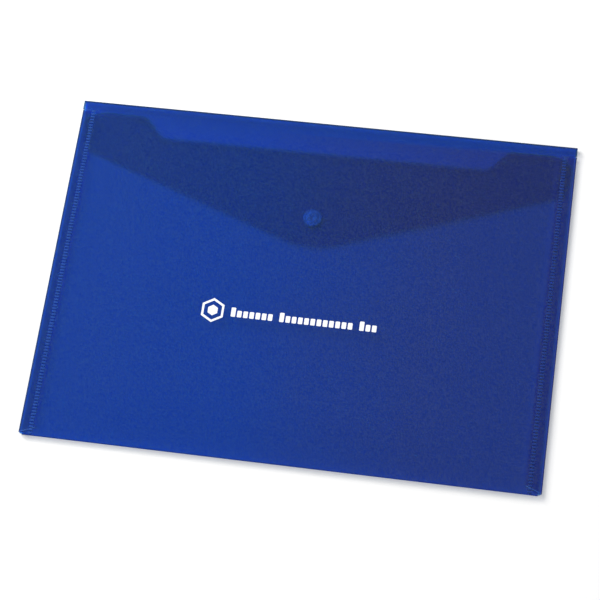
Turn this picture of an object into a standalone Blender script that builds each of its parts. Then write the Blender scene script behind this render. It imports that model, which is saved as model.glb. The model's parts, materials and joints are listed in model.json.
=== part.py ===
"""Letter-size poly envelope: a folded film pocket with welded sides, a V flap and a plastic snap.

Metres, +Z up. The envelope lies closed with its plain back face up: +Y points to the top fold, where the
flap hinges, and +X to the right. The flap is folded under the pocket and snapped to the front panel.
The origin is the middle of the footprint, on the surface that the envelope lies on.
"""

import math

import bmesh
import bpy
from mathutils import Vector

# Driving dimensions, in metres.
WIDTH = 0.330
HEIGHT = 0.235
FILM = 0.00035
GAP = 0.0003  # between pieces that touch on the real envelope

# Side seams.
WING_WIDTH = 0.0108
WING_TOP = 0.0070  # below the top fold
WING_TIP = 0.0016  # above the bottom fold, at the side fold
WING_MITRE = 0.0056  # above the bottom fold, at the end of the mitre
WING_MITRE_WIDTH = 0.0015  # across the blunt end of the mitre
WING_MITRE_RISE = 0.0012
WING_CORNER = 0.0010  # chamfer at the wing's inner top corner
WING_TIP_LIFT = 0.0004  # so that the wing's tip starts just above the crease's end
SEAM_MARGIN = 0.0012  # flat film inside the wing, before the pocket opens
FRONT_INSET = 0.0025  # from the side fold's outer face to the front panel's side edge
WELD_IN = 0.0076  # from the side fold's outer face to the weld's middle
WELD_WIDTH = 0.0028
WELD_PITCH = 0.00205
WELD_BAR = 0.00105
WELD_BAR_HEIGHT = 0.0005
WELD_WEB = 0.0002
WELD_START = 0.0006  # above the mitre
WELD_TOP = 0.0125  # below the top fold

# Front panel's top edge, as distances below the top fold.
TAB_TOP = 0.0075
TAB_CORNER_DROP = 0.0095
TAB_CORNER_WIDTH = 0.0175
TAB_END = 0.0415  # from the side fold, where the slope starts
SLOPE_END = 0.0590  # from the side fold, where the slope ends
MOUTH = 0.0215

# Flap.
FLAP_LENGTH = 0.0873
FLAP_TAPER = math.radians(10)
FLAP_SHOULDER = 0.0350  # below the top fold, where the V starts
FLAP_SHOULDER_RADIUS = 0.0060
FLAP_TIP_RADIUS = 0.0520

# Snap, at the middle of the envelope.
SNAP_DROP = 0.0685  # below the top fold
CAP_RADIUS = 0.0060
CAP_THICKNESS = 0.0008
CAP_DOME = 0.00022  # how far the cap's rim is set back from its face, in each of two steps
CAP_DOME_WIDTH = 0.0012
INNER_CAP_THICKNESS = 0.0006
INNER_CAP_BEVEL_WIDTH = 0.0004
INNER_CAP_BEVEL_HEIGHT = 0.0002
POST_RADIUS = 0.0009
POST_END = 0.0003  # how far the inner cap's post stops above the knob's face
HOLE_RADIUS = 0.0012
SOCKET_RADIUS = 0.0050
SOCKET_HEIGHT = 0.0012
SOCKET_FLOOR = 0.0004
SOCKET_BORE = 0.0033
STUD_RADIUS = 0.0050
STUD_FLANGE = 0.00035
STUD_KNOB_RADIUS = 0.0029
STUD_KNOB_DEPTH = 0.0008
SNAP_CHAMFER = 0.0003
POST_HOLE_STEPS = 16

# How far the pocket stands open, and how wide the slopes are that lead up to it.
BACK_CROWN = 0.0065  # middle of the back panel's film
SIDE_SLOPE = 0.0580
BOTTOM_SLOPE = 0.0380
TOP_SLOPE = 0.0170
FRONT_STEP_START = 0.0885  # below the top fold, just past the flap's tip
FRONT_STEP_END = 0.1200
SNAP_FLAT = 0.0100
SNAP_SLOPE_END = 0.0340
FLAP_CLEARANCE = 0.000325  # a little over GAP, because the front panel's cells sag between their corners

# Grid lines of the front panel's film.
TAB_CORNER_ANGLES = (0, 30, 50, 70, 90)  # degrees around the tab's rounded corner
TAB_MIDDLE_X = 0.134
SNAP_COLUMNS = (0.066, 0.036, 0.026, 0.018, 0.0095)
SNAP_ROWS = (-0.033, -0.025, -0.017, -0.0095, 0.0095, 0.017, 0.025, 0.033)  # from the snap's middle
ROW_SPACE = 0.002  # least space between the flap's end and the first of those rows

# Heights of the films' middles at the side seams, stacked up from the surface.
FLAP_Z = CAP_THICKNESS + GAP + FILM / 2
WING_Z = FLAP_Z + FILM + GAP
WELD_Z = WING_Z + FILM / 2 + GAP + WELD_BAR_HEIGHT / 2
FRONT_Z = WELD_Z + WELD_BAR_HEIGHT / 2 + GAP + FILM / 2
BACK_Z = FRONT_Z + FILM + GAP
FRONT_REST_Z = FILM / 2
FRONT_OVER_FLAP_Z = FLAP_Z + FILM + FLAP_CLEARANCE
SOCKET_Z = FLAP_Z + FILM / 2 + GAP
STUD_Z = SOCKET_Z + SOCKET_HEIGHT + GAP
FRONT_AT_SNAP_Z = STUD_Z + STUD_FLANGE + GAP + FILM / 2
INNER_CAP_Z = FRONT_AT_SNAP_Z + FILM / 2 + GAP

# Fold radii at the film's middle, and the lines where the flat films stop.
SIDE_FOLD_RADIUS = (BACK_Z - WING_Z) / 2
BOTTOM_FOLD_RADIUS = (BACK_Z - FRONT_Z) / 2
TOP_FOLD_RADIUS = (BACK_Z - FLAP_Z) / 2
SIDE_FOLD_X = WIDTH / 2 - SIDE_FOLD_RADIUS - FILM / 2
BOTTOM_FOLD_Y = -HEIGHT / 2 + BOTTOM_FOLD_RADIUS + FILM / 2
HINGE_Y = HEIGHT / 2 - TOP_FOLD_RADIUS - FILM / 2
HINGE_Z = (BACK_Z + FLAP_Z) / 2
SIDE_EDGE_X = SIDE_FOLD_X - GAP
BOTTOM_EDGE_Y = BOTTOM_FOLD_Y + GAP
TOP_EDGE_Y = HINGE_Y - GAP
SEAM_INNER_X = WIDTH / 2 - WING_WIDTH - SEAM_MARGIN
SNAP_Y = HEIGHT / 2 - SNAP_DROP

BLUE_FILM = (0.012, 0.065, 0.36, 1.0)
BLUE_SNAP = (0.010, 0.050, 0.26, 1.0)
ROUND_STEPS = 32


def clear_scene():
    for old in list(bpy.data.objects):
        bpy.data.objects.remove(old, do_unlink=True)


def plastic(name, colour, roughness):
    material = bpy.data.materials.new(name)
    material.use_nodes = True
    shader = material.node_tree.nodes["Principled BSDF"]
    shader.inputs["Base Color"].default_value = colour
    shader.inputs["Roughness"].default_value = roughness
    shader.inputs["Metallic"].default_value = 0.0
    shader.inputs["IOR"].default_value = 1.49
    return material


def finished(name, bm, colour=BLUE_FILM, roughness=0.35, origin=(0.0, 0.0, 0.0), parent=None):
    """Turns a bmesh in world coordinates into an object whose origin is at origin."""
    bmesh.ops.translate(bm, verts=bm.verts, vec=-Vector(origin))
    mesh = bpy.data.meshes.new(name)
    bm.to_mesh(mesh)
    bm.free()
    mesh.shade_smooth()
    mesh.set_sharp_from_angle(angle=math.radians(35))
    body = bpy.data.objects.new(name, mesh)
    bpy.context.scene.collection.objects.link(body)
    body.data.materials.append(plastic(name, colour, roughness))
    body.location = origin
    if parent is not None:
        body.parent = parent
        body.location = Vector(origin) - parent.location
    return body


def smooth(value):
    """0 below 0, 1 above 1, and an S curve between them."""
    t = min(max(value, 0.0), 1.0)
    return t * t * (3.0 - 2.0 * t)


def spread(start, end, steps):
    return [start + (end - start) * k / steps for k in range(steps)]


# ---------------------------------------------------------------- film heights


def pocket_share(x, y):
    """How far the pocket is open at a place: 0 at the side seams and the bottom fold, 1 in the middle."""
    side = smooth((SEAM_INNER_X - abs(x)) / SIDE_SLOPE)
    bottom = smooth((y - BOTTOM_EDGE_Y) / BOTTOM_SLOPE)
    return side * bottom


def back_height(x, y):
    top = smooth((TOP_EDGE_Y - y) / TOP_SLOPE)
    return BACK_Z + (BACK_CROWN - BACK_Z) * pocket_share(x, y) * top


def front_height(x, y):
    drop = HEIGHT / 2 - y
    past_flap = smooth((drop - FRONT_STEP_START) / (FRONT_STEP_END - FRONT_STEP_START))
    low = FRONT_OVER_FLAP_Z + (FRONT_REST_Z - FRONT_OVER_FLAP_Z) * past_flap
    height = FRONT_Z + (low - FRONT_Z) * pocket_share(x, y)
    reach = math.hypot(x, y - SNAP_Y)
    lift = smooth((SNAP_SLOPE_END - reach) / (SNAP_SLOPE_END - SNAP_FLAT))
    return height + (FRONT_AT_SNAP_Z - height) * lift


def mouth_y(x):
    """Y of the front panel's top edge: rounded outer corner, tab, slope, then the straight mouth."""
    inward = WIDTH / 2 - abs(x)
    corner = min(max((inward - FRONT_INSET) / TAB_CORNER_WIDTH, 0.0), 1.0)
    drop = TAB_TOP + TAB_CORNER_DROP * (1.0 - math.sqrt(corner * (2.0 - corner)))
    slope = smooth((inward - TAB_END) / (SLOPE_END - TAB_END))
    return HEIGHT / 2 - drop - (MOUTH - TAB_TOP) * slope


# ---------------------------------------------------------------- solids


def film_solid(columns, rows, place, height, keep=lambda x, y: True):
    """A film of even thickness over a grid of cells. place maps grid values to x, y; keep drops cells."""
    bm = bmesh.new()
    upper, lower = {}, {}

    def corner(i, j):
        if (i, j) not in upper:
            x, y = place(columns[i], rows[j])
            z = height(x, y)
            upper[i, j] = bm.verts.new((x, y, z + FILM / 2))
            lower[i, j] = bm.verts.new((x, y, z - FILM / 2))
        return i, j

    cells = set()
    for i in range(len(columns) - 1):
        for j in range(len(rows) - 1):
            if keep((columns[i] + columns[i + 1]) / 2, (rows[j] + rows[j + 1]) / 2):
                cells.add((i, j))
    for i, j in sorted(cells):
        ring = [corner(i, j), corner(i + 1, j), corner(i + 1, j + 1), corner(i, j + 1)]
        bm.faces.new([upper[k] for k in ring])
        bm.faces.new([lower[k] for k in reversed(ring)])
        beyond = [(i, j - 1), (i + 1, j), (i, j + 1), (i - 1, j)]
        for side in range(4):
            if beyond[side] not in cells:
                a, b = ring[side], ring[(side + 1) % 4]
                bm.faces.new([lower[a], lower[b], upper[b], upper[a]])
    bmesh.ops.recalc_face_normals(bm, faces=bm.faces)
    return bm


def extruded(points, direction):
    """A solid from a closed outline of 3-D points, pushed along direction."""
    bm = bmesh.new()
    first = [bm.verts.new(p) for p in points]
    last = [bm.verts.new(Vector(p) + Vector(direction)) for p in points]
    bm.faces.new(first)
    bm.faces.new(list(reversed(last)))
    for k in range(len(points)):
        n = (k + 1) % len(points)
        bm.faces.new([first[n], first[k], last[k], last[n]])
    bmesh.ops.recalc_face_normals(bm, faces=bm.faces)
    return bm


def turned(profile, centre, steps=ROUND_STEPS):
    """A solid turned about a vertical line. profile is a closed loop of (radius, z); radius 0 is allowed."""
    bm = bmesh.new()
    rings = []
    for radius, z in profile:
        if radius == 0.0:
            rings.append([bm.verts.new((centre[0], centre[1], z))] * steps)
            continue
        ring = []
        for k in range(steps):
            angle = 2.0 * math.pi * k / steps
            ring.append(
                bm.verts.new(
                    (centre[0] + radius * math.cos(angle), centre[1] + radius * math.sin(angle), z)
                )
            )
        rings.append(ring)
    for k, ring in enumerate(rings):
        above = rings[(k + 1) % len(rings)]
        for n in range(steps):
            m = (n + 1) % steps
            loop = []
            for vertex in (ring[n], ring[m], above[m], above[n]):
                if vertex not in loop:
                    loop.append(vertex)
            if len(loop) > 2:
                bm.faces.new(loop)
    bmesh.ops.recalc_face_normals(bm, faces=bm.faces)
    return bm


def arc_section(radius, first, last, steps):
    """Closed (across, up) outline of a bent film between two angles in degrees, about its bend's centre."""
    angles = [math.radians(first + (last - first) * k / steps) for k in range(steps + 1)]
    outer = [((radius + FILM / 2) * math.cos(a), (radius + FILM / 2) * math.sin(a)) for a in angles]
    inner = [((radius - FILM / 2) * math.cos(a), (radius - FILM / 2) * math.sin(a)) for a in angles]
    return outer + inner[::-1]


# ---------------------------------------------------------------- pieces


def side_columns():
    """Grid lines across the back panel, close together on the slopes beside the seams."""
    flat_x = SEAM_INNER_X - SIDE_SLOPE
    half = spread(flat_x, SEAM_INNER_X, 7) + [SEAM_INNER_X, SIDE_EDGE_X, WIDTH / 2]
    return [-x for x in reversed(half)] + [-flat_x / 3, flat_x / 3] + half


def make_back_panel():
    rows = [-HEIGHT / 2 + BOTTOM_FOLD_RADIUS + FILM / 2 + GAP]
    rows += [-HEIGHT / 2 + WING_TIP - GAP]
    rows += spread(rows[-1], BOTTOM_EDGE_Y + BOTTOM_SLOPE, 6)[1:]
    rows += spread(BOTTOM_EDGE_Y + BOTTOM_SLOPE, TOP_EDGE_Y - TOP_SLOPE, 3)
    rows += spread(TOP_EDGE_Y - TOP_SLOPE, HEIGHT / 2 - WING_TOP + GAP, 4)
    rows += [HEIGHT / 2 - WING_TOP + GAP, HEIGHT / 2 - WING_TOP / 2, TOP_EDGE_Y]

    def keep(x, y):
        beside_fold = -HEIGHT / 2 + WING_TIP - GAP < y < HEIGHT / 2 - WING_TOP + GAP
        return abs(x) < SIDE_EDGE_X or not beside_fold

    finished("back_panel", film_solid(side_columns(), rows, lambda x, y: (x, y), back_height, keep))


def make_front_panel():
    edge = WIDTH / 2 - FRONT_INSET
    corner = [edge - TAB_CORNER_WIDTH * (1.0 - math.cos(math.radians(a))) for a in TAB_CORNER_ANGLES]
    slope = spread(WIDTH / 2 - TAB_END, WIDTH / 2 - SLOPE_END, 6) + [WIDTH / 2 - SLOPE_END]
    half = corner + [TAB_MIDDLE_X] + slope + [SEAM_INNER_X - SIDE_SLOPE] + list(SNAP_COLUMNS)
    columns = sorted([-x for x in half] + half)
    snap = [SNAP_Y + d for d in SNAP_ROWS]
    rows = spread(BOTTOM_EDGE_Y, BOTTOM_EDGE_Y + BOTTOM_SLOPE, 6)
    rows += [BOTTOM_EDGE_Y + BOTTOM_SLOPE, HEIGHT / 2 - FRONT_STEP_END]
    rows += [HEIGHT / 2 - (FRONT_STEP_START + FRONT_STEP_END) / 2, HEIGHT / 2 - FRONT_STEP_START]
    rows += [y for y in snap if y > HEIGHT / 2 - FRONT_STEP_START + ROW_SPACE]
    rows += [HEIGHT / 2 - MOUTH]
    last_straight = rows[-2]

    def place(x, y):
        """Rows above the snap stretch up to the mouth's edge."""
        if y <= last_straight:
            return x, y
        return x, mouth_y(x)

    panel = finished("front_panel", film_solid(columns, rows, place, front_height))
    cut_post_hole(panel, FRONT_AT_SNAP_Z)


def cut_post_hole(panel, z):
    """Cuts the hole that a snap's post passes through."""
    reach = FILM * 2
    profile = [(0.0, z - reach), (HOLE_RADIUS, z - reach), (HOLE_RADIUS, z + reach), (0.0, z + reach)]
    plug = turned(profile, (0.0, SNAP_Y), steps=POST_HOLE_STEPS)
    drill = finished(panel.name + "_drill", plug, parent=panel.parent)
    drill.hide_render = True
    drill.display_type = "WIRE"
    cut = panel.modifiers.new("post_hole", "BOOLEAN")
    cut.operation = "DIFFERENCE"
    cut.solver = "EXACT"
    cut.object = drill


def make_side(side, name):
    """The crease, wing and weld on one side; side is -1 on the left and 1 on the right."""
    low = -HEIGHT / 2 + WING_TIP
    high = HEIGHT / 2 - WING_TOP
    section = arc_section(SIDE_FOLD_RADIUS, -90, 90, steps=10)
    centre_z = (BACK_Z + WING_Z) / 2
    ring = [(side * (SIDE_FOLD_X + across), low, centre_z + up) for across, up in section]
    finished(name + "_side_fold", extruded(ring, (0.0, high - low, 0.0)))

    inner = WIDTH / 2 - WING_WIDTH
    mitre_y = -HEIGHT / 2 + WING_MITRE
    outline = [
        (SIDE_EDGE_X, low + WING_TIP_LIFT),
        (SIDE_EDGE_X, high),
        (inner + WING_CORNER, high),
        (inner, high - WING_CORNER),
        (inner, mitre_y + WING_MITRE_RISE),
        (inner + WING_MITRE_WIDTH, mitre_y),
    ]
    ring = [(side * x, y, WING_Z - FILM / 2) for x, y in outline]
    finished(name + "_side_wing", extruded(ring, (0.0, 0.0, FILM)))
    make_weld(side, name + "_weld_seam")


def make_weld(side, name):
    """One fused strip with a raised bar at each weld mark, between the wing and the front panel."""
    start = -HEIGHT / 2 + WING_MITRE + WELD_START
    end = HEIGHT / 2 - WELD_TOP
    count = int((end - start - WELD_BAR) / WELD_PITCH)
    low = WELD_Z - WELD_BAR_HEIGHT / 2
    high = WELD_Z + WELD_BAR_HEIGHT / 2
    web = low + WELD_WEB
    upper = []
    for k in range(count + 1):
        y = start + k * WELD_PITCH
        upper += [(y, high), (y + WELD_BAR, high)]
        if k < count:
            upper += [(y + WELD_BAR, web), (y + WELD_PITCH, web)]
    left = side * (WIDTH / 2 - WELD_IN) - WELD_WIDTH / 2
    outline = [(upper[0][0], low), (upper[-1][0], low)] + upper[::-1]
    ring = [(left, y, z) for y, z in outline]
    finished(name, extruded(ring, (WELD_WIDTH, 0.0, 0.0)))


def make_bottom_fold():
    half = WIDTH / 2 - FRONT_INSET
    centre_z = (BACK_Z + FRONT_Z) / 2
    section = arc_section(BOTTOM_FOLD_RADIUS, 90, 270, steps=8)
    ring = [(-half, BOTTOM_FOLD_Y + across, centre_z + up) for across, up in section]
    finished("bottom_fold", extruded(ring, (2.0 * half, 0.0, 0.0)))


def make_top_fold():
    section = arc_section(TOP_FOLD_RADIUS, -90, 90, steps=12)
    ring = [(-WIDTH / 2, HINGE_Y + across, HINGE_Z + up) for across, up in section]
    finished("top_fold", extruded(ring, (WIDTH, 0.0, 0.0)))


def rounded_corner(before, corner, after, radius, steps):
    """Points of an arc that rounds the corner of a 2-D outline."""
    to_before = (Vector(before) - Vector(corner)).normalized()
    to_after = (Vector(after) - Vector(corner)).normalized()
    half = to_before.angle(to_after) / 2
    middle = (to_before + to_after).normalized()
    centre = Vector(corner) + middle * (radius / math.sin(half))
    start = Vector(corner) + to_before * (radius / math.tan(half)) - centre
    end = Vector(corner) + to_after * (radius / math.tan(half)) - centre
    turn = start.angle_signed(end)
    points = []
    for k in range(steps + 1):
        a = -turn * k / steps
        x = start.x * math.cos(a) - start.y * math.sin(a)
        y = start.x * math.sin(a) + start.y * math.cos(a)
        points.append((centre.x + x, centre.y + y))
    return points


def flap_outline():
    """Outline of the closed flap seen from above, from the left end of its root around the tip."""
    top = HEIGHT / 2
    root = TOP_EDGE_Y
    half = WIDTH / 2
    shoulder_x = half - FLAP_SHOULDER * math.tan(FLAP_TAPER)
    shoulder = (shoulder_x, top - FLAP_SHOULDER)
    # The V's straight edges would meet at a sharp apex; its distance follows from the tip's rounding.
    apex_drop = FLAP_LENGTH
    for _ in range(20):
        lean = math.atan2(apex_drop - FLAP_SHOULDER, shoulder_x)
        apex_drop = FLAP_LENGTH + FLAP_TIP_RADIUS * (1.0 / math.cos(lean) - 1.0)
    apex = (0.0, top - apex_drop)
    start = (half - (top - root) * math.tan(FLAP_TAPER), root)
    right = [start] + rounded_corner(start, shoulder, apex, FLAP_SHOULDER_RADIUS, steps=6)
    tip = rounded_corner(shoulder, apex, (-shoulder_x, shoulder[1]), FLAP_TIP_RADIUS, steps=12)
    return right + tip + [(-x, y) for x, y in reversed(right)]


def make_flap(hinge):
    ring = [(x, y, FLAP_Z - FILM / 2) for x, y in flap_outline()]
    origin = (0.0, HINGE_Y, HINGE_Z)
    flap = finished("closure_flap", extruded(ring, (0.0, 0.0, FILM)), origin=origin, parent=hinge)
    cut_post_hole(flap, FLAP_Z)


def make_snap(hinge):
    """Cap and socket on the flap, stud and cap on the front panel, each pair held by the cap's post."""
    centre = (0.0, SNAP_Y)
    origin = (0.0, HINGE_Y, HINGE_Z)

    cap = [
        (0.0, 0.0),
        (CAP_RADIUS - CAP_DOME_WIDTH, 0.0),
        (CAP_RADIUS - SNAP_CHAMFER, CAP_DOME),
        (CAP_RADIUS, CAP_DOME * 2),
        (CAP_RADIUS, CAP_THICKNESS),
        (POST_RADIUS, CAP_THICKNESS),
        (POST_RADIUS, SOCKET_Z + SOCKET_FLOOR),
        (0.0, SOCKET_Z + SOCKET_FLOOR),
    ]
    finished("flap_snap_cap", turned(cap, centre), BLUE_SNAP, 0.3, origin, hinge)

    socket = [
        (HOLE_RADIUS, SOCKET_Z),
        (SOCKET_RADIUS, SOCKET_Z),
        (SOCKET_RADIUS, SOCKET_Z + SOCKET_HEIGHT - SNAP_CHAMFER),
        (SOCKET_RADIUS - SNAP_CHAMFER, SOCKET_Z + SOCKET_HEIGHT),
        (SOCKET_BORE, SOCKET_Z + SOCKET_HEIGHT),
        (SOCKET_BORE, SOCKET_Z + SOCKET_FLOOR),
        (HOLE_RADIUS, SOCKET_Z + SOCKET_FLOOR),
    ]
    finished("flap_snap_socket", turned(socket, centre), BLUE_SNAP, 0.3, origin, hinge)

    knob_z = STUD_Z - STUD_KNOB_DEPTH
    stud = [
        (HOLE_RADIUS, knob_z),
        (STUD_KNOB_RADIUS - SNAP_CHAMFER, knob_z),
        (STUD_KNOB_RADIUS, knob_z + SNAP_CHAMFER),
        (STUD_KNOB_RADIUS, STUD_Z),
        (STUD_RADIUS, STUD_Z),
        (STUD_RADIUS, STUD_Z + STUD_FLANGE),
        (HOLE_RADIUS, STUD_Z + STUD_FLANGE),
    ]
    finished("front_snap_stud", turned(stud, centre), BLUE_SNAP, 0.3)

    inner_top = INNER_CAP_Z + INNER_CAP_THICKNESS
    inner = [
        (0.0, knob_z + POST_END),
        (POST_RADIUS, knob_z + POST_END),
        (POST_RADIUS, INNER_CAP_Z),
        (CAP_RADIUS, INNER_CAP_Z),
        (CAP_RADIUS, inner_top - INNER_CAP_BEVEL_HEIGHT),
        (CAP_RADIUS - INNER_CAP_BEVEL_WIDTH, inner_top),
        (0.0, inner_top),
    ]
    finished("front_snap_cap", turned(inner, centre), BLUE_SNAP, 0.3)


def make_hinge():
    hinge = bpy.data.objects.new("flap_hinge", None)
    hinge.location = (0.0, HINGE_Y, HINGE_Z)
    bpy.context.scene.collection.objects.link(hinge)
    return hinge


def main():
    clear_scene()
    hinge = make_hinge()
    make_back_panel()
    make_front_panel()
    make_bottom_fold()
    make_top_fold()
    for side, name in ((-1, "left"), (1, "right")):
        make_side(side, name)
    make_flap(hinge)
    make_snap(hinge)


main()
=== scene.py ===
import json
import math

import bmesh
import bpy
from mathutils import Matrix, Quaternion, Vector


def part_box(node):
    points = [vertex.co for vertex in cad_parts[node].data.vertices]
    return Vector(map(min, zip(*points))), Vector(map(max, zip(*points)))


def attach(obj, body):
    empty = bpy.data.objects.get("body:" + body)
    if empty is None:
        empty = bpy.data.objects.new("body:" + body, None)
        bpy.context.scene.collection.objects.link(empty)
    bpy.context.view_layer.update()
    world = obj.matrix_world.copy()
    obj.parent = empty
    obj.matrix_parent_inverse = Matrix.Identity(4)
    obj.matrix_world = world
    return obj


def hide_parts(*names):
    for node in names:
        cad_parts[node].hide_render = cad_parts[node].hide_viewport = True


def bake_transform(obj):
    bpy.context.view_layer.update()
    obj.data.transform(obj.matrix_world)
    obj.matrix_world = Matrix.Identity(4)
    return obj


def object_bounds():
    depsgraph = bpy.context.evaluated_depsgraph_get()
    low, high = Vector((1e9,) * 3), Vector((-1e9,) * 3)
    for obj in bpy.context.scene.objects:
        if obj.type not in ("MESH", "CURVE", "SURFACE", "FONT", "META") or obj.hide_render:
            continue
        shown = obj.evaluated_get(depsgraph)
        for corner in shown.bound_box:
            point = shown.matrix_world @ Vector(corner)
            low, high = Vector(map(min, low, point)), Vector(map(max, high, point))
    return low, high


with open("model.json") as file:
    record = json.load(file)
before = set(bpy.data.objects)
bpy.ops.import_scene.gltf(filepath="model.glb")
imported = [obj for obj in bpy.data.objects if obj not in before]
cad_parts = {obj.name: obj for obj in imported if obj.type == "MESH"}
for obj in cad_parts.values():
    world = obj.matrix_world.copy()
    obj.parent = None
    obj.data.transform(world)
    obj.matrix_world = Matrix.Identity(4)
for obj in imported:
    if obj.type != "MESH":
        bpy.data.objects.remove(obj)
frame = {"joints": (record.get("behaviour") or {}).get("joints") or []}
cad_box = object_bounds()

# Looks of a poly envelope that lies closed with its plain back face up. Metres, +Z up, +Y to the top fold.
# Sizes are read from the frame where it holds them; the constants below are the shape in between.

# ---------------------------------------------------------------- sizes from the frame

LOW, HIGH = cad_box
WIDTH = HIGH.x - LOW.x
HEIGHT = HIGH.y - LOW.y
GAP = 0.0003  # between neighbouring pieces, as in the frame


def middle_z(node):
    low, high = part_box(node)
    return (low.z + high.z) / 2


FLAP_LOW, FLAP_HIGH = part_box("closure_flap")
FILM = FLAP_HIGH.z - FLAP_LOW.z
FLAP_Z = middle_z("closure_flap")
WING_Z = middle_z("left_side_wing")
BACK_LOW, BACK_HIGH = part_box("back_panel")
BACK_Z = BACK_LOW.z + FILM / 2
BACK_CROWN = BACK_HIGH.z - FILM / 2
FRONT_LOW, FRONT_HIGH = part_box("front_panel")
FRONT_REST_Z = FRONT_LOW.z + FILM / 2
FRONT_HALF = FRONT_HIGH.x
TAB_TOP_Y = FRONT_HIGH.y
SIDE_FOLD_LOW, SIDE_FOLD_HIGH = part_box("right_side_fold")
SIDE_FOLD_X = SIDE_FOLD_LOW.x
WING_END_Y = SIDE_FOLD_LOW.y
WING_TOP_Y = SIDE_FOLD_HIGH.y
WING_INNER_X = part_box("right_side_wing")[0].x
WELD_LOW, WELD_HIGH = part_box("right_weld_seam")
BOTTOM_LOW, BOTTOM_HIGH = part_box("bottom_fold")
BOTTOM_FOLD_Y = BOTTOM_HIGH.y
BOTTOM_FOLD_RADIUS = BOTTOM_FOLD_Y - BOTTOM_LOW.y - FILM / 2
FRONT_Z = BACK_Z - 2 * BOTTOM_FOLD_RADIUS
SIDE_FOLD_RADIUS = (BACK_Z - WING_Z) / 2
HINGE = Vector(frame["joints"][0]["pos_m"])
TOP_FOLD_RADIUS = (BACK_Z - FLAP_Z) / 2
INNER_CAP_LOW, INNER_CAP_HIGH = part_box("front_snap_cap")
SNAP_Y = (INNER_CAP_LOW.y + INNER_CAP_HIGH.y) / 2
CAP_RADIUS = (INNER_CAP_HIGH.y - INNER_CAP_LOW.y) / 2
STUD_LOW, STUD_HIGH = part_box("front_snap_stud")
SOCKET_LOW, SOCKET_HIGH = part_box("flap_snap_socket")
FLAP_CAP_LOW, FLAP_CAP_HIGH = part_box("flap_snap_cap")
FRONT_AT_SNAP_Z = STUD_HIGH.z + GAP + FILM / 2

TOP_Y = HEIGHT / 2

# ---------------------------------------------------------------- shape between the frame's sizes

SEAM_PAST_WING = 0.0012
SEAM_INNER_X = WING_INNER_X - SEAM_PAST_WING
SIDE_SLOPE = 0.058
BOTTOM_SLOPE = 0.038
TOP_SLOPE = 0.017
FRONT_OVER_FLAP_Z = FLAP_Z + FILM + GAP
FRONT_STEP_START = 0.0885
FRONT_STEP_END = 0.120
SNAP_FLAT = 0.010
SNAP_SLOPE_END = 0.034
TAB_CORNER_DROP = 0.0095
TAB_CORNER_WIDTH = 0.0175
TAB_END = 0.0415
SLOPE_END = 0.059
MOUTH_DROP = 0.0215
MOUTH_ROWS_DROP = 0.034  # below this distance from the top, the front panel's rows no longer follow its mouth
LIP = 0.0045
# Width of the lighter strip along cut edges: partly the cut's burr, partly a painted highlight.
BURR_HIGHLIGHT_STRIP = 0.0005
WING_MITRE_RISE = 0.004
EAR_CUT = 0.00035  # the ear's outer edge starts this far above the wing's top
EAR_MARGIN = 0.00005
FLAP_SHOULDER = 0.035
FLAP_TAPER = math.radians(10)
FLAP_SHOULDER_BLEND = 0.0016
FLAP_TIP_RADIUS = 0.052
FLAP_LENGTH = TOP_Y - FLAP_LOW.y
POST_RADIUS = 0.0009
HOLE_RADIUS = 0.0012
SOCKET_BORE = 0.0031
STUD_KNOB = 0.0029
INK_MIDDLE = (-0.0040, -0.0220)
INK_LIFT = 0.00001
INK_THICKNESS = 0.00004
MARK_OFFSET = -0.0505
MARK_RADIUS = 0.0082
MARK_RING_INSIDE = 0.0066
MARK_CORE_RADIUS = 0.0036
INK_RUNS_OFFSET = -0.0385
INK_RUNS_DROP = 0.0030
INK_BLOCKS = (7, 12, 3)
INK_BLOCK_WIDTH = 0.0029
INK_BLOCK_HEIGHT = 0.0044
INK_FIRST_BLOCK_HEIGHT = 0.0062
INK_PITCH = 0.0040
INK_GAP = 0.0034
WELD_PITCH = 0.00205
WELD_BAR = 0.00105
WELD_CORNER = 0.00022
WELD_RISE = 0.00005
WELD_SINK = 0.00008
LOWER_WELD_RISE = 0.00004
WELD_BOTTOM_MARGIN = 0.0017
WELD_TOP_MARGIN = 0.0066
LINE_HALF = 0.00018
LINE_OUTER_MARGIN = 0.0009
LINE_INNER_MARGIN = 0.0004
LINE_START_RISE = 0.0003

# Sizes of the meshes' cells
GRID = 0.003
WING_GRID = 0.0016
EAR_GRID = 0.0018
SLOPE_GRID = 0.0015
LIP_GRID = 0.001
FLAP_GRID = 0.0039
FLAP_FINE_GRID = 0.0009
FLAP_TIP_ROWS = (0.0015, 0.0008, 0.0003, 0.00005)
ARC_STEPS = 12
SAME = 1e-9


def smooth(value):
    t = min(max(value, 0.0), 1.0)
    return t * t * (3.0 - 2.0 * t)


def steps(start, end, size):
    count = max(1, round(abs(end - start) / size))
    return [start + (end - start) * k / count for k in range(count + 1)]


def chain(*runs):
    """Joins runs of grid values that share their end values."""
    values = list(runs[0])
    for run in runs[1:]:
        values += run[1:] if abs(run[0] - values[-1]) < SAME else run
    return values


# ---------------------------------------------------------------- heights of the films


def pocket_share(x, y):
    side = smooth((SEAM_INNER_X - abs(x)) / SIDE_SLOPE)
    bottom = smooth((y - BOTTOM_FOLD_Y) / BOTTOM_SLOPE)
    return side * bottom


def back_height(x, y):
    top = smooth((HINGE.y - y) / TOP_SLOPE)
    return BACK_Z + (BACK_CROWN - BACK_Z) * pocket_share(x, y) * top


def front_height(x, y):
    past_flap = smooth((TOP_Y - y - FRONT_STEP_START) / (FRONT_STEP_END - FRONT_STEP_START))
    low = FRONT_OVER_FLAP_Z + (FRONT_REST_Z - FRONT_OVER_FLAP_Z) * past_flap
    height = FRONT_Z + (low - FRONT_Z) * pocket_share(x, y)
    reach = math.hypot(x, y - SNAP_Y)
    lift = smooth((SNAP_SLOPE_END - reach) / (SNAP_SLOPE_END - SNAP_FLAT))
    return height + (FRONT_AT_SNAP_Z - height) * lift


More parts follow.
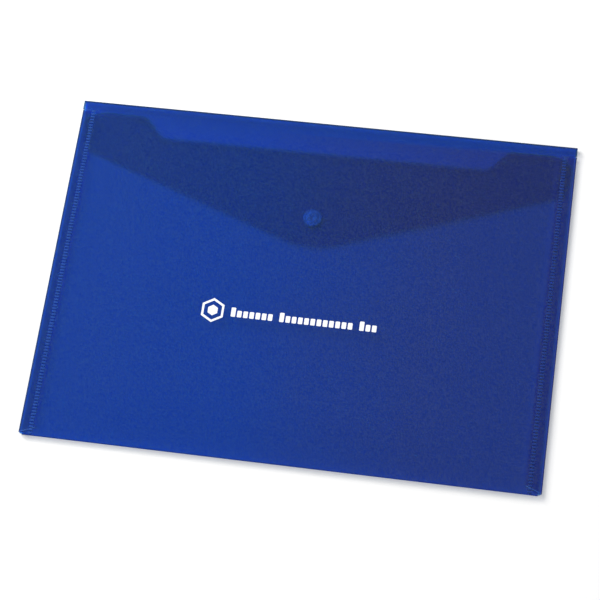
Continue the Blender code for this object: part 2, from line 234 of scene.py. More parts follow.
def mouth_y(x):
    inward = WIDTH / 2 - abs(x)
    corner = min(max((FRONT_HALF - abs(x)) / TAB_CORNER_WIDTH, 0.0), 1.0)
    drop = TAB_CORNER_DROP * (1.0 - math.sqrt(corner * (2.0 - corner)))
    slope = smooth((inward - TAB_END) / (SLOPE_END - TAB_END))
    return TAB_TOP_Y - drop - (TAB_TOP_Y - (TOP_Y - MOUTH_DROP)) * slope


# ---------------------------------------------------------------- mesh helpers


def patch(bm, columns, rows, place, look=0):
    """Adds a grid of faces; place(column, row) gives each point of the film's middle."""
    grid = [[bm.verts.new(place(c, r)) for r in rows] for c in columns]
    for i in range(len(columns) - 1):
        for j in range(len(rows) - 1):
            face = bm.faces.new((grid[i][j], grid[i + 1][j], grid[i + 1][j + 1], grid[i][j + 1]))
            face.material_index = look


def new_object(name, bm, materials):
    mesh = bpy.data.meshes.new(name)
    bm.to_mesh(mesh)
    bm.free()
    made = bpy.data.objects.new(name, mesh)
    bpy.context.scene.collection.objects.link(made)
    for material in materials:
        mesh.materials.append(material)
    return made


def apply_modifiers(piece):
    bpy.context.view_layer.update()
    evaluated = piece.evaluated_get(bpy.context.evaluated_depsgraph_get())
    mesh = bpy.data.meshes.new_from_object(evaluated)
    piece.modifiers.clear()
    old = piece.data
    piece.data = mesh
    bpy.data.meshes.remove(old)
    mesh.name = piece.name


def shade(piece, angle=35):
    piece.data.shade_smooth()
    piece.data.set_sharp_from_angle(angle=math.radians(angle))


def film_slots(looks):
    """The slot of each look, as film_piece lays them out."""
    return range(0, 2 * len(looks), 2)


def film_piece(name, bm, looks, holes=()):
    """Turns a film's middle surface into a closed film of even thickness.
    The slots hold each look followed by the look of the cut edges next to it."""
    bmesh.ops.remove_doubles(bm, verts=bm.verts, dist=1e-6)
    bmesh.ops.recalc_face_normals(bm, faces=bm.faces)
    piece = new_object(name, bm, [slot for look in looks for slot in (look, EDGE_LOOK)])
    solid = piece.modifiers.new("thickness", "SOLIDIFY")
    solid.thickness = FILM
    solid.offset = 0.0
    solid.use_even_offset = True
    solid.material_offset_rim = 1
    drills = [hole_cutter(name, *hole) for hole in holes]
    for drill in drills:
        cut = piece.modifiers.new("hole", "BOOLEAN")
        cut.operation = "DIFFERENCE"
        cut.solver = "EXACT"
        cut.object = drill
    apply_modifiers(piece)
    for drill in drills:
        bpy.data.objects.remove(drill, do_unlink=True)
    shade(piece)
    return piece


def hole_cutter(name, centre, radius):
    bm = bmesh.new()
    bmesh.ops.create_cone(bm, cap_ends=True, segments=48, radius1=radius, radius2=radius, depth=0.003)
    bmesh.ops.translate(bm, verts=bm.verts, vec=centre)
    drill = new_object(name + "_drill", bm, [])
    drill.hide_render = True
    return drill


# ---------------------------------------------------------------- materials


class Nodes:
    """Small helper to write a material's node tree."""

    def __init__(self, name):
        self.material = bpy.data.materials.new(name)
        self.material.use_nodes = True
        self.tree = self.material.node_tree
        self.shader = self.tree.nodes["Principled BSDF"]
        self.output = self.tree.nodes["Material Output"]
        self.place = self.tree.nodes.new("ShaderNodeTexCoord").outputs["Object"]

    def set(self, **values):
        for key, value in values.items():
            self.shader.inputs[key.replace("_", " ")].default_value = value

    def link(self, start, end):
        self.tree.links.new(start, end)

    def noise(self, scale, detail=2.0, roughness=0.5, stretch=(1, 1, 1)):
        mapping = self.tree.nodes.new("ShaderNodeMapping")
        mapping.inputs["Scale"].default_value = stretch
        self.link(self.place, mapping.inputs["Vector"])
        node = self.tree.nodes.new("ShaderNodeTexNoise")
        node.inputs["Scale"].default_value = scale
        node.inputs["Detail"].default_value = detail
        node.inputs["Roughness"].default_value = roughness
        self.link(mapping.outputs["Vector"], node.inputs["Vector"])
        return node.outputs["Fac"]

    def ramp(self, value, low, high, start, end):
        """Maps value from low..high to start..end, and holds it there."""
        node = self.tree.nodes.new("ShaderNodeMapRange")
        node.inputs["From Min"].default_value = low
        node.inputs["From Max"].default_value = high
        node.inputs["To Min"].default_value = start
        node.inputs["To Max"].default_value = end
        self.link(value, node.inputs["Value"])
        return node.outputs["Result"]

    def colours(self, value, first, second):
        node = self.tree.nodes.new("ShaderNodeMix")
        node.data_type = "RGBA"
        node.inputs["A"].default_value = (*first, 1)
        node.inputs["B"].default_value = (*second, 1)
        self.link(value, node.inputs["Factor"])
        return node.outputs["Result"]

    def axis(self, letter):
        node = self.tree.nodes.new("ShaderNodeSeparateXYZ")
        self.link(self.place, node.inputs["Vector"])
        return node.outputs[letter]

    def add(self, first, second):
        node = self.tree.nodes.new("ShaderNodeMath")
        node.operation = "ADD"
        self.link(first, node.inputs[0])
        self.link(second, node.inputs[1])
        return node.outputs[0]

    def absolute(self, value):
        node = self.tree.nodes.new("ShaderNodeMath")
        node.operation = "ABSOLUTE"
        self.link(value, node.inputs[0])
        return node.outputs[0]

    def mix_shaders(self, share, first, second):
        node = self.tree.nodes.new("ShaderNodeMixShader")
        if isinstance(share, float):
            node.inputs[0].default_value = share
        else:
            self.link(share, node.inputs[0])
        self.link(first, node.inputs[1])
        self.link(second, node.inputs[2])
        return node.outputs[0]

    def pass_lamps(self, surface, tint):
        """Ends the tree: light from lamps passes, tinted, and everything else sees the surface."""
        clear = self.tree.nodes.new("ShaderNodeBsdfTransparent")
        clear.inputs["Color"].default_value = (*tint, 1)
        path = self.tree.nodes.new("ShaderNodeLightPath")
        self.link(self.mix_shaders(path.outputs["Is Shadow Ray"], surface, clear.outputs[0]),
                  self.output.inputs["Surface"])

    def bump(self, height, strength, distance):
        node = self.tree.nodes.new("ShaderNodeBump")
        node.inputs["Strength"].default_value = strength
        node.inputs["Distance"].default_value = distance
        self.link(height, node.inputs["Height"])
        return node.outputs["Normal"]


def film_look(name, tint, lamp_tint, roughness, share=(0.027, 0.078), painted_shade_share=(1.0, 1.0, 1.0)):
    """Translucent film: a rough see-through sheet with a faint haze, and more satin plastic at a slant.
    Light from lamps passes in a straight line, tinted. Near the side folds the film is pressed clearer.
    The tints are what the whole film lets through, so each of its two faces gets the square root."""
    n = Nodes(name)
    face_tint = [math.sqrt(c) for c in tint]
    # Towards +X, away from the key light, the tint darkens: painted shade for light that falls off across the
    # film.
    painted_shade_tint = [c * kept for c, kept in zip(face_tint, painted_shade_share)]
    lamp_face = [math.sqrt(c) for c in lamp_tint]
    grain = n.noise(1100, 2, 0.6)
    pressed = n.ramp(n.absolute(n.axis("X")), *PRESSED_ZONE, 0, PRESSED_ROUGHNESS - roughness)
    wobble = n.ramp(n.noise(14, 2), 0.3, 0.7, -PAINTED_SHADE_WOBBLE, PAINTED_SHADE_WOBBLE)
    top_strip = n.ramp(n.axis("Y"), *TOP_STRIP_ZONE, 0, -TOP_STRIP_SHIFT)
    # Mask of the painted shade: 0 on the key light's side, 1 on the far side, wobbled, and lifted along the
    # top fold.
    painted_shade_mask = n.ramp(n.add(n.add(n.axis("X"), wobble), top_strip), *PAINTED_SHADE_ZONE, 0, 1)
    bend = n.tree.nodes.new("ShaderNodeBsdfRefraction")
    bend.distribution = "BECKMANN"
    bend.inputs["IOR"].default_value = 1.5
    n.link(n.colours(painted_shade_mask, face_tint, painted_shade_tint), bend.inputs["Color"])
    grainy = n.ramp(grain, 0.3, 0.7, roughness - 0.03, roughness + 0.03)
    n.link(n.add(grainy, pressed), bend.inputs["Roughness"])
    haze = n.tree.nodes.new("ShaderNodeBsdfPrincipled")
    n.link(n.colours(painted_shade_mask, HAZE, PAINTED_REFLECTION_HAZE), haze.inputs["Base Color"])
    haze.inputs["Roughness"].default_value = 0.6
    variation = n.ramp(n.noise(22, 3), 0.3, 0.7, 0, 1)
    n.link(n.colours(variation, [c * 0.94 for c in SATIN], [c * 1.06 for c in SATIN]),
           n.shader.inputs["Base Color"])
    n.link(n.ramp(grain, 0.3, 0.7, 0.36, 0.44), n.shader.inputs["Roughness"])
    n.link(n.bump(grain, 0.12, 0.0001), n.shader.inputs["Normal"])
    n.set(IOR=1.5)
    hazy = n.mix_shaders(n.ramp(grain, 0.38, 0.64, *share), bend.outputs[0], haze.outputs[0])
    slant = n.tree.nodes.new("ShaderNodeLayerWeight")
    slant.inputs["Blend"].default_value = 0.35
    satin = n.mix_shaders(n.ramp(slant.outputs["Fresnel"], 0.05, 1.0, 0.0, 0.85), hazy, n.shader.outputs[0])
    n.pass_lamps(satin, lamp_face)
    return n.material


def plain_look(name, colour, roughness, passes=None, grain_scale=900, grain=0.1, vary=0.06, sheen=0.5):
    """Solid plastic or ink. passes is the tint of the light from lamps that goes through, if any does."""
    n = Nodes(name)
    variation = n.ramp(n.noise(60, 3), 0.3, 0.7, 0, 1)
    light = [min(1.0, c * (1 + vary)) for c in colour]
    dark = [c * (1 - vary) for c in colour]
    n.link(n.colours(variation, dark, light), n.shader.inputs["Base Color"])
    n.link(n.ramp(n.noise(grain_scale, 2), 0.3, 0.7, roughness - 0.05, roughness + 0.05),
           n.shader.inputs["Roughness"])
    n.link(n.bump(n.noise(grain_scale, 2), grain, 0.00005), n.shader.inputs["Normal"])
    n.set(IOR=1.49, Specular_IOR_Level=sheen)
    if passes:
        n.pass_lamps(n.shader.outputs[0], passes)
    return n.material


HAZE = (0.130, 0.328, 0.12)
# Warmer haze where the painted shade lies: a painted reflection of light from that side.
PAINTED_REFLECTION_HAZE = (0.25, 0.315, 0.13)
SATIN = (0.014, 0.055, 0.30)
PRESSED_ROUGHNESS = 0.38
PRESSED_ZONE = (0.1505, 0.1535)  # from the middle, where the film turns from loose to pressed
PAINTED_SHADE_ZONE = (-0.045, 0.085)  # across, where the film turns from its plain look to painted shade with a warmer painted haze
PAINTED_SHADE_WOBBLE = 0.012
TOP_STRIP_ZONE = (0.1065, 0.1110)  # up, where the strip along the top fold starts, which gets less of the painted shade
TOP_STRIP_SHIFT = 0.17

FILM_ROUGHNESS = 0.58
CREASE_ROUGHNESS = 0.5
CREASE_SHARE = (0.05, 0.10)
OUTER_TINT = (0.052, 0.317, 0.99)
OUTER_LAMP_TINT = (0.70, 0.72, 0.80)
INNER_LAMP_TINT = (0.68, 0.70, 0.72)
# Share of each colour that the painted shade keeps on the side away from the key light.
OUTER_PAINTED_SHADE_SHARE = (1.0, 0.93, 0.86)
WING_PAINTED_SHADE_SHARE = (1.0, 0.985, 0.95)
OUTER_LOOK = film_look("outer_film", OUTER_TINT, OUTER_LAMP_TINT, FILM_ROUGHNESS, painted_shade_share=OUTER_PAINTED_SHADE_SHARE)
WING_LOOK = film_look("wing_film", OUTER_TINT, OUTER_LAMP_TINT, FILM_ROUGHNESS, painted_shade_share=WING_PAINTED_SHADE_SHARE)
FILM_LOOK = film_look("inner_film", (0.043, 0.168, 0.87), INNER_LAMP_TINT, FILM_ROUGHNESS)
FLAP_LOOK = film_look("flap_film", (0.043, 0.155, 0.95), (0.68, 0.70, 0.76), FILM_ROUGHNESS)
# Darker tint on the folds: partly the crease's denser film, partly painted shade that holds back light
# reaching the floor under the folds.
CREASE_AND_PAINTED_SHADE_LOOK = film_look(
    "creased_film_painted_shade", (0.034, 0.125, 0.54), (0.34, 0.36, 0.40), CREASE_ROUGHNESS, CREASE_SHARE)
EAR_LOOK = film_look("ear_film", (0.040, 0.130, 0.40), (0.45, 0.47, 0.50), CREASE_ROUGHNESS, CREASE_SHARE)
# Lighter, hazier copy of the crease look, used on the right side fold only: a painted highlight along that
# fold.
RIGHT_CREASE_PAINTED_HIGHLIGHT_LOOK = film_look(
    "right_crease_painted_highlight", (0.06, 0.22, 0.90), (0.50, 0.52, 0.56), CREASE_ROUGHNESS, (0.06, 0.11))
LIP_LOOK = film_look("lip_film", (0.041, 0.135, 0.76), INNER_LAMP_TINT, FILM_ROUGHNESS)
# Lighter strip along the cut edges at the mouth and the wings' mitred ends: partly the whitened burr of the
# cut, partly a painted highlight of the edge.
BURR_HIGHLIGHT_LOOK = film_look("cut_burr_painted_highlight", (0.25, 0.45, 0.90), OUTER_LAMP_TINT, 0.6, (0.25, 0.40))
EDGE_LOOK = plain_look("film_cut_edge", (0.08, 0.20, 0.50), 0.4)
WELD_PASSES = (0.98, 0.98, 0.98)
# The right ladder is a darker copy of the left one: painted shade for the side away from the key light.
LEFT_WELD_LOOK = plain_look("left_fused_film", (0.014, 0.059, 0.28), 0.6, WELD_PASSES, sheen=0.08)
RIGHT_WELD_PAINTED_SHADE_LOOK = plain_look("right_fused_film_painted_shade", (0.013, 0.038, 0.20), 0.6, WELD_PASSES, sheen=0.08)
LOWER_WELD_LOOK = plain_look("fused_lower_film", (0.20, 0.30, 0.62), 0.6, WELD_PASSES, sheen=0.25)
# Pressed line over the wing's mitred end: a raised ridge whose lighter colour is a painted highlight of the
# cut edge below.
LINE_HIGHLIGHT_LOOK = plain_look("pressed_line_painted_highlight", (0.035, 0.105, 0.37), 0.5, (0.75, 0.75, 0.80), sheen=0.08)
SNAP_LOOK = plain_look("snap_plastic", (0.025, 0.09, 0.38), 0.3, (0.97, 0.97, 0.98))
INK_LOOK = plain_look("white_ink", (0.84, 0.85, 0.86), 0.5, (0.85, 0.85, 0.85), 1400, 0.2, 0.03)


# ---------------------------------------------------------------- films


def panel_rows():
    return chain(
        [BOTTOM_FOLD_Y, WING_END_Y, WING_END_Y + BURR_HIGHLIGHT_STRIP],
        steps(WING_END_Y + BURR_HIGHLIGHT_STRIP, WING_TOP_Y, GRID),
        steps(WING_TOP_Y, HINGE.y, EAR_GRID),
    )


def wing_point(side, run, y):
    """A point of the side fold or wing, run metres from where the flat panel stops."""
    bend = math.pi * SIDE_FOLD_RADIUS
    if run <= bend:
        angle = run / SIDE_FOLD_RADIUS
        across = SIDE_FOLD_X + SIDE_FOLD_RADIUS * math.sin(angle)
        return side * across, y, BACK_Z - SIDE_FOLD_RADIUS + SIDE_FOLD_RADIUS * math.cos(angle)
    flat = run - bend
    mitre = WING_MITRE_RISE * flat / (SIDE_FOLD_X - WING_INNER_X)
    y = WING_TOP_Y - (WING_TOP_Y - y) * (1.0 - mitre / (WING_TOP_Y - WING_END_Y))
    return side * (SIDE_FOLD_X - flat), y, WING_Z


def make_back_sheet():
    """Back panel with the ears at its corners, the side folds and the wings, as one piece of film."""
    looks = [OUTER_LOOK, BURR_HIGHLIGHT_LOOK, CREASE_AND_PAINTED_SHADE_LOOK, RIGHT_CREASE_PAINTED_HIGHLIGHT_LOOK, WING_LOOK, EAR_LOOK]
    panel, burr_highlight, left_crease_shade, right_crease_highlight, wing, ear = film_slots(looks)
    bm = bmesh.new()
    rows = panel_rows()
    columns = steps(-SIDE_FOLD_X, SIDE_FOLD_X, GRID)
    patch(bm, columns, rows, lambda x, y: (x, y, back_height(x, y)), panel)
    bend = math.pi * SIDE_FOLD_RADIUS
    wing_rows = [y for y in rows if WING_END_Y - SAME < y < WING_TOP_Y + SAME]
    ear_rows = [y for y in rows if y > WING_TOP_Y - SAME]
    ear_columns = [SIDE_FOLD_X, WIDTH / 2 - EAR_MARGIN]
    wing_end = bend + SIDE_FOLD_X - WING_INNER_X
    runs = chain(steps(0.0, bend, bend / ARC_STEPS), steps(bend, wing_end, WING_GRID))
    # The darker crease look runs one step onto the flat wing as painted shade.
    painted_shade_end = runs[ARC_STEPS + 1]
    arc = [run for run in runs if run < painted_shade_end + SAME]
    flat = [run for run in runs if run > painted_shade_end - SAME]
    for side, crease_painted_light in ((-1, left_crease_shade), (1, right_crease_highlight)):

        def fold_point(run, y):
            return wing_point(side, run, y)

        def ear_point(x, y):
            low = WING_TOP_Y + EAR_CUT if x > SIDE_FOLD_X + SAME else WING_TOP_Y
            return side * x, max(y, low), BACK_Z

        patch(bm, arc, wing_rows, fold_point, crease_painted_light)
        patch(bm, flat, wing_rows[:2], fold_point, burr_highlight)
        patch(bm, flat, wing_rows[1:], fold_point, wing)
        patch(bm, ear_columns, ear_rows, ear_point, ear)
    return film_piece("back_panel_film", bm, looks)


def make_front_sheet():
    """Front panel with the cut-out and tabs of the pocket's mouth, and the bottom fold, as one film."""
    looks = [FILM_LOOK, LIP_LOOK, BURR_HIGHLIGHT_LOOK]
    panel, lip, burr_highlight = film_slots(looks)
    bm = bmesh.new()
    half_corner = [FRONT_HALF - TAB_CORNER_WIDTH * (1 - math.cos(math.radians(a))) for a in range(0, 91, 9)]
    inner = chain(
        steps(FRONT_HALF - TAB_CORNER_WIDTH, WIDTH / 2 - TAB_END, GRID),
        steps(WIDTH / 2 - TAB_END, WIDTH / 2 - SLOPE_END, SLOPE_GRID),
        steps(WIDTH / 2 - SLOPE_END, 0.0, GRID),
    )
    half = chain(half_corner, inner)
    columns = [-x for x in half] + half[-2::-1]
    level = TOP_Y - MOUTH_ROWS_DROP
    rows = steps(BOTTOM_FOLD_Y, level, GRID)

    def place(x, y):
        return x, y, front_height(x, y)

    def upper_place(x, share):
        return place(x, level + (mouth_y(x) - LIP - level) * share)

    def lip_place(x, below):
        return place(x, mouth_y(x) - below)

    patch(bm, columns, rows, place, panel)
    patch(bm, columns, steps(0.0, 1.0, 0.125), upper_place, panel)
    patch(bm, columns, steps(LIP, BURR_HIGHLIGHT_STRIP, LIP_GRID), lip_place, lip)
    patch(bm, columns, [BURR_HIGHLIGHT_STRIP, 0.0], lip_place, burr_highlight)

    def fold_place(x, degrees):
        angle = math.radians(degrees)
        y = BOTTOM_FOLD_Y - BOTTOM_FOLD_RADIUS * math.sin(angle)
        return x, y, (BACK_Z + FRONT_Z) / 2 - BOTTOM_FOLD_RADIUS * math.cos(angle)

    patch(bm, columns, steps(0.0, 180.0, 22.5), fold_place, panel)
    hole = (0, SNAP_Y, FRONT_AT_SNAP_Z), HOLE_RADIUS
    return film_piece("front_panel_film", bm, looks, [hole])


def flap_half_width(depth):
    """Half of the flap's width at a distance below the top fold. Each side leans in, turns into the V at a
    round shoulder, and the V ends in a round tip."""
    half = WIDTH / 2
    shoulder_x = half - FLAP_SHOULDER * math.tan(FLAP_TAPER)
    apex = FLAP_LENGTH
    for _ in range(20):
        lean = math.atan2(apex - FLAP_SHOULDER, shoulder_x)
        apex = FLAP_LENGTH + FLAP_TIP_RADIUS * (1.0 / math.cos(lean) - 1.0)
    side = half - depth * math.tan(FLAP_TAPER)
    vee = (apex - depth) / math.tan(lean)
    # A soft minimum of the two lines rounds the shoulder; the blend sets how much.
    blend = FLAP_SHOULDER_BLEND
    edge = -blend * math.log(math.exp(-side / blend) + math.exp(-vee / blend))
    tip_centre = FLAP_LENGTH - FLAP_TIP_RADIUS
    touch = tip_centre + FLAP_TIP_RADIUS * math.cos(lean)
    if depth > touch:
        edge = math.sqrt(max(FLAP_TIP_RADIUS**2 - (depth - tip_centre) ** 2, 0.0))
    return edge


def make_flap():
    """Flap and the top fold that it hangs from, as one piece of film that bends at the hinge."""
    looks = [FLAP_LOOK, CREASE_AND_PAINTED_SHADE_LOOK]
    panel, crease_painted_light = film_slots(looks)
    bm = bmesh.new()
    shares = steps(-1.0, 1.0, 2 * FLAP_GRID / WIDTH)
    root = TOP_Y - HINGE.y
    shoulder_start, shoulder_end = FLAP_SHOULDER - 0.006, FLAP_SHOULDER + 0.003
    tip_start = FLAP_LENGTH - 0.006
    tip_rows = [FLAP_LENGTH - rest for rest in FLAP_TIP_ROWS]
    depths = chain(
        steps(root, shoulder_start, GRID),
        steps(shoulder_start, shoulder_end, FLAP_FINE_GRID),
        steps(shoulder_end, tip_start, GRID),
        steps(tip_start, tip_rows[0], FLAP_FINE_GRID),
        tip_rows,
    )

    def place(share, depth):
        return share * flap_half_width(depth), TOP_Y - depth, FLAP_Z

    def fold_place(share, degrees):
        angle = math.radians(degrees)
        half = (WIDTH / 2) + (flap_half_width(root) - WIDTH / 2) * degrees / 180
        y = HINGE.y + TOP_FOLD_RADIUS * math.sin(angle)
        return share * half, y, HINGE.z + TOP_FOLD_RADIUS * math.cos(angle)

    patch(bm, shares, depths, place, panel)
    patch(bm, shares, steps(0.0, 180.0, 12.0), fold_place, crease_painted_light)
    return film_piece("closure_flap_film", bm, looks, [((0, SNAP_Y, FLAP_Z), HOLE_RADIUS)])


# ---------------------------------------------------------------- welds

WELD_SLOT, LINE_HIGHLIGHT_SLOT, LOWER_WELD_SLOT = range(3)


def weld_bar(bm, start, end, half, low, high, look):
    """One fused bar with round corners, between two heights, with its top edge drawn in a little."""
    start, end = Vector(start), Vector(end)
    along = (end - start).normalized()
    across = Vector((-along.y, along.x))
    radius = min(half, WELD_CORNER)
    outline = []
    for tip, lengthwise in ((end, 1), (start, -1)):
        for edge in (-lengthwise, lengthwise):
            centre = tip - along * lengthwise * radius + across * edge * (half - radius)
            turn = math.atan2(along.y * lengthwise, along.x * lengthwise)
            if edge == -lengthwise:
                turn -= math.pi / 2
            for degrees in (0, 30, 60, 90):
                angle = turn + math.radians(degrees)
                outline.append(centre + Vector((math.cos(angle), math.sin(angle))) * radius)
    middle = (start + end) / 2
    rings = []
    for z, inward in ((low, 0.0), (high - 0.00005, 0.0), (high, 0.00008)):
        rings.append([bm.verts.new((*(p - (p - middle).normalized() * inward), z)) for p in outline])
    count = len(outline)
    faces = [bm.faces.new(rings[-1]), bm.faces.new(rings[0][::-1])]
    for below, above in zip(rings, rings[1:]):
        for k in range(count):
            m = (k + 1) % count
            faces.append(bm.faces.new((below[k], below[m], above[m], above[k])))
    for face in faces:
        face.material_index = look


def make_weld(side, name):
    """Ladder of weld bars, and the raised lines that the wing's two cut ends press through the back panel;
    the mitre's line is lighter, a painted highlight of the cut edge below.
    """
    bm = bmesh.new()
    middle = side * (WELD_LOW.x + WELD_HIGH.x) / 2
    half = (WELD_HIGH.x - WELD_LOW.x) / 2
    upper = BACK_Z + FILM / 2 - WELD_SINK, BACK_Z + FILM / 2 + WELD_RISE
    lower = WING_Z - FILM / 2 - LOWER_WELD_RISE, WING_Z - FILM / 2 + WELD_SINK
    y = -HEIGHT / 2 + WELD_BOTTOM_MARGIN
    while y + WELD_BAR / 2 < TOP_Y - WELD_TOP_MARGIN:
        ends = (middle - half, y), (middle + half, y)
        weld_bar(bm, *ends, WELD_BAR / 2, *upper, WELD_SLOT)
        weld_bar(bm, *ends, WELD_BAR / 2, *lower, LOWER_WELD_SLOT)
        y += WELD_PITCH
    outer = side * (WIDTH / 2 - LINE_OUTER_MARGIN)
    inner = side * (WING_INNER_X + LINE_INNER_MARGIN)
    mitre_start = outer, WING_END_Y + LINE_START_RISE
    mitre_end = inner, WING_END_Y + WING_MITRE_RISE
    weld_bar(bm, (outer, WING_TOP_Y), (inner, WING_TOP_Y), LINE_HALF, *upper, WELD_SLOT)
    weld_bar(bm, mitre_start, mitre_end, LINE_HALF, *upper, LINE_HIGHLIGHT_SLOT)
    bmesh.ops.recalc_face_normals(bm, faces=bm.faces)
    bar_look = LEFT_WELD_LOOK if side < 0 else RIGHT_WELD_PAINTED_SHADE_LOOK
    piece = new_object(name, bm, [bar_look, LINE_HIGHLIGHT_LOOK, LOWER_WELD_LOOK])
    shade(piece, 50)
    return piece


# ---------------------------------------------------------------- snap


def turned(name, profile, material, turns=72):
    """A closed solid turned about the snap's middle. profile is a closed loop of (radius, z)."""
    bm = bmesh.new()
    rings = []
    for radius, z in profile:
        if radius == 0.0:
            rings.append([bm.verts.new((0.0, SNAP_Y, z))] * turns)
            continue
        ring = []
        for k in range(turns):
            a = 2 * math.pi * k / turns
            ring.append(bm.verts.new((radius * math.cos(a), SNAP_Y + radius * math.sin(a), z)))
        rings.append(ring)
    for k, ring in enumerate(rings):
        above = rings[(k + 1) % len(rings)]
        for n in range(turns):
            m = (n + 1) % turns
            loop = []
            for v in (ring[n], ring[m], above[m], above[n]):
                if v not in loop:
                    loop.append(v)
            if len(loop) > 2:
                bm.faces.new(loop)
    bmesh.ops.recalc_face_normals(bm, faces=bm.faces)
    piece = new_object(name, bm, [material])
    shade(piece, 40)
    return piece


def cap_profile(face, rim, post_end):
    """A snap cap from the middle of its face to the end of its post; rim is the flange's height."""
    r = CAP_RADIUS
    up = 1 if rim > face else -1
    # Radius, and depth behind the face: a dimple, a flat, a ring groove and a round rim.
    shape = [
        (0.0, 0.00012), (0.0007, 0.00010), (0.0009, 0.0), (0.0040, 0.00002), (0.0043, 0.00014),
        (0.0046, 0.00014), (0.0049, 0.00003), (r - 0.0005, 0.00010), (r - 0.0002, 0.00020), (r, 0.00034),
    ]
    loop = [(radius, face + up * drop) for radius, drop in shape]
    loop += [(r, rim - up * 0.00005), (r - 0.00006, rim)]
    loop += [(POST_RADIUS, rim), (POST_RADIUS, post_end), (0.0, post_end)]
    return loop


def make_cap(name, face, rim, post_end):
    return turned(name, cap_profile(face, rim, post_end), SNAP_LOOK)


def make_socket():
    """The flap's half of the snap: a cup on a flange, with a lip in its bore that the knob passes."""
    low, high = SOCKET_LOW.z, SOCKET_HIGH.z
    r = (SOCKET_HIGH.y - SOCKET_LOW.y) / 2
    wall = r - 0.0006
    groove = SOCKET_BORE + 0.0002
    floor = low + 0.0004
    return turned("snap_socket", [
        (HOLE_RADIUS, low), (r - 0.0002, low), (r, low + 0.0002), (r, low + 0.0005), (wall, low + 0.0007),
        (wall, high - 0.0002), (r - 0.0008, high), (0.0035, high), (SOCKET_BORE, high - 0.0002),
        (SOCKET_BORE, high - 0.0004), (groove, high - 0.0006), (groove, floor), (HOLE_RADIUS, floor),
    ], SNAP_LOOK)


def make_stud():
    """The front panel's half of the snap: a knob under a plate with a ring pressed into it."""
    low, high = STUD_LOW.z, STUD_HIGH.z
    r = (STUD_HIGH.y - STUD_LOW.y) / 2
    plate = high - 0.00035
    bevel = 0.00008
    return turned("snap_stud", [
        (HOLE_RADIUS, low), (0.0024, low), (0.00275, low + 0.00012), (STUD_KNOB, low + 0.0003),
        (STUD_KNOB - 0.00025, low + 0.00055), (STUD_KNOB - 0.0002, plate), (r - 0.0009, plate),
        (r - 0.0008, plate + bevel), (r - 0.0005, plate + bevel), (r - 0.0004, plate), (r - bevel, plate),
        (r, plate + bevel), (r, high - bevel), (r - bevel, high), (HOLE_RADIUS, high),
    ], SNAP_LOOK)


# ---------------------------------------------------------------- imprint


def ink_shape(bm, outline, hole=()):
    """A flat patch of ink on the back panel. outline and hole are closed loops with as many points each."""
    low = BACK_CROWN + FILM / 2 + INK_LIFT
    high = low + INK_THICKNESS
    loops = [[bm.verts.new((x, y, z)) for x, y in points] for points in (outline, hole) for z in (low, high)]
    outer_low, outer_high, inner_low, inner_high = loops
    count = len(outline)
    for k in range(count):
        m = (k + 1) % count
        bm.faces.new((outer_low[k], outer_low[m], outer_high[m], outer_high[k]))
        if hole:
            bm.faces.new((inner_high[k], inner_high[m], inner_low[m], inner_low[k]))
            bm.faces.new((outer_high[k], outer_high[m], inner_high[m], inner_high[k]))
            bm.faces.new((outer_low[m], outer_low[k], inner_low[k], inner_low[m]))
    if not hole:
        bm.faces.new(outer_high)
        bm.faces.new(outer_low[::-1])


def hexagon(x, y, radius):
    return [(x + radius * math.cos(math.radians(a)), y + radius * math.sin(math.radians(a)))
            for a in range(30, 390, 60)]


def block(left, low, width, height, radius=0.0005):
    """Closed outline of a small rectangle with round corners."""
    points = []
    for x, y, start in (
        (left + width - radius, low + radius, -90),
        (left + width - radius, low + height - radius, 0),
        (left + radius, low + height - radius, 90),
        (left + radius, low + radius, 180),
    ):
        for degrees in range(start, start + 91, 30):
            angle = math.radians(degrees)
            points.append((x + radius * math.cos(angle), y + radius * math.sin(angle)))
    return points


def make_imprint():
    """A hexagon mark and three runs of plain blocks in place of the printed name."""
    bm = bmesh.new()
    x, y = INK_MIDDLE
    mark_x = x + MARK_OFFSET
    ink_shape(bm, hexagon(mark_x, y, MARK_RADIUS), hexagon(mark_x, y, MARK_RING_INSIDE))
    ink_shape(bm, hexagon(mark_x, y, MARK_CORE_RADIUS))
    left = x + INK_RUNS_OFFSET
    for count in INK_BLOCKS:
        for k in range(count):
            height = INK_FIRST_BLOCK_HEIGHT if k == 0 else INK_BLOCK_HEIGHT
            ink_shape(bm, block(left, y - INK_RUNS_DROP, INK_BLOCK_WIDTH, height))
            left += INK_PITCH
        left += INK_GAP
    bmesh.ops.recalc_face_normals(bm, faces=bm.faces)
    return new_object("imprint_ink", bm, [INK_LOOK])


# ---------------------------------------------------------------- putting it together

back = make_back_sheet()
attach(back, "envelope")
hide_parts("back_panel", "left_side_fold", "right_side_fold", "left_side_wing", "right_side_wing")

front = make_front_sheet()
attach(front, "envelope")
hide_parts("front_panel", "bottom_fold")

flap = make_flap()
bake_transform(flap)
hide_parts("closure_flap", "top_fold")

for side, name in ((-1, "left"), (1, "right")):
    weld = make_weld(side, name + "_weld_bars")
    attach(weld, "envelope")
    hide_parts(name + "_weld_seam")

flap_cap = make_cap("snap_flap_cap", FLAP_CAP_LOW.z, FLAP_Z - FILM / 2 - GAP, FLAP_CAP_HIGH.z)
inner_cap = make_cap("snap_inner_cap", INNER_CAP_HIGH.z, FRONT_AT_SNAP_Z + FILM / 2 + GAP, INNER_CAP_LOW.z)
socket = make_socket()
stud = make_stud()
for piece, body, node in (
    (flap_cap, "flap", "flap_snap_cap"),
    (socket, "flap", "flap_snap_socket"),
    (inner_cap, "envelope", "front_snap_cap"),
    (stud, "envelope", "front_snap_stud"),
):
    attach(piece, body)
    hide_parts(node)

imprint = make_imprint()
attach(imprint, "envelope")

# ---------------------------------------------------------------- stage, light and camera

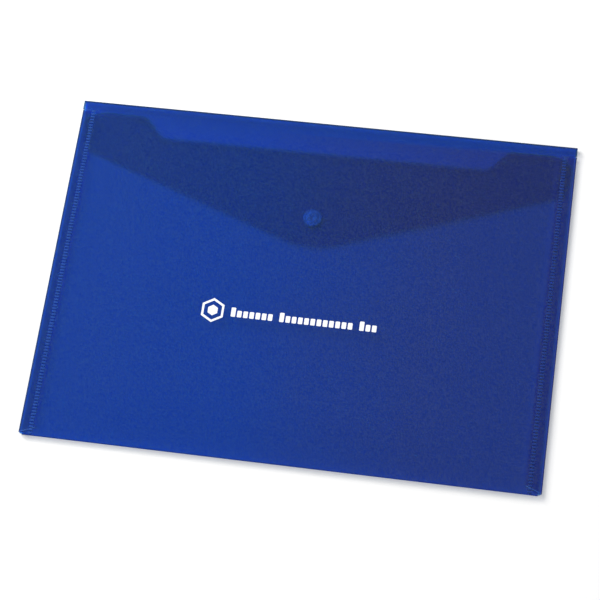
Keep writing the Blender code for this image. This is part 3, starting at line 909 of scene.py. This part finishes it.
FLOOR_DROP = 0.00002  # keeps the floor clear of the envelope's lowest faces
CAMERA_AIM = Vector((-0.0002, -0.0079, 0.004))
CAMERA_AZIMUTH, CAMERA_ELEVATION, CAMERA_ROLL = 20.53, 69.2, 13.1
CAMERA_DISTANCE = 1.2109
CAMERA_LENS = 113.59


def make_floor():
    n = Nodes("pale_floor")
    n.link(n.colours(n.ramp(n.noise(9, 2), 0.3, 0.7, 0, 1), (0.89, 0.89, 0.89), (0.91, 0.91, 0.91)),
           n.shader.inputs["Base Color"])
    n.set(Roughness=0.9, Specular_IOR_Level=0.0)
    bm = bmesh.new()
    bmesh.ops.create_grid(bm, x_segments=1, y_segments=1, size=6.0)
    floor = new_object("floor", bm, [n.material])
    floor.location.z = -FLOOR_DROP


def area_light(name, place, aim, size, power):
    lamp = bpy.data.lights.new(name, "AREA")
    lamp.shape = "RECTANGLE"
    lamp.size, lamp.size_y = size
    lamp.energy = power
    lamp_object = bpy.data.objects.new(name, lamp)
    lamp_object.location = place
    lamp_object.rotation_mode = "QUATERNION"
    lamp_object.rotation_quaternion = (Vector(aim) - Vector(place)).to_track_quat("-Z", "Y")
    bpy.context.scene.collection.objects.link(lamp_object)


def make_light():
    world = bpy.data.worlds.new("studio")
    world.use_nodes = True
    background = world.node_tree.nodes["Background"]
    background.inputs["Color"].default_value = (1, 1, 1, 1)
    background.inputs["Strength"].default_value = 0.40
    bpy.context.scene.world = world
    area_light("key_softbox", (-1.2, 0.80, 1.40), (0, 0, 0), (1.4, 1.4), 53)
    area_light("fill_softbox", (0.9, -0.3, 2.2), (0, 0, 0), (1.6, 1.6), 6)


def make_camera():
    azimuth, elevation, roll = (math.radians(d) for d in (CAMERA_AZIMUTH, CAMERA_ELEVATION, CAMERA_ROLL))
    back = Vector((math.sin(azimuth) * math.cos(elevation), -math.cos(azimuth) * math.cos(elevation),
                   math.sin(elevation)))
    camera = bpy.data.cameras.new("camera")
    camera.lens = CAMERA_LENS
    camera.sensor_width = 36.0
    camera.clip_start = 0.05
    rig = bpy.data.objects.new("camera", camera)
    rig.location = CAMERA_AIM + back * CAMERA_DISTANCE
    rig.rotation_mode = "QUATERNION"
    turn = Quaternion((0, 0, 1), -roll)
    rig.rotation_quaternion = (-back).to_track_quat("-Z", "Y") @ turn
    bpy.context.scene.collection.objects.link(rig)
    bpy.context.scene.camera = rig


make_floor()
make_light()
make_camera()
scene = bpy.context.scene
scene.view_settings.view_transform = "Standard"
scene.cycles.caustics_refractive = False
scene.cycles.caustics_reflective = False
scene.cycles.transparent_max_bounces = 32
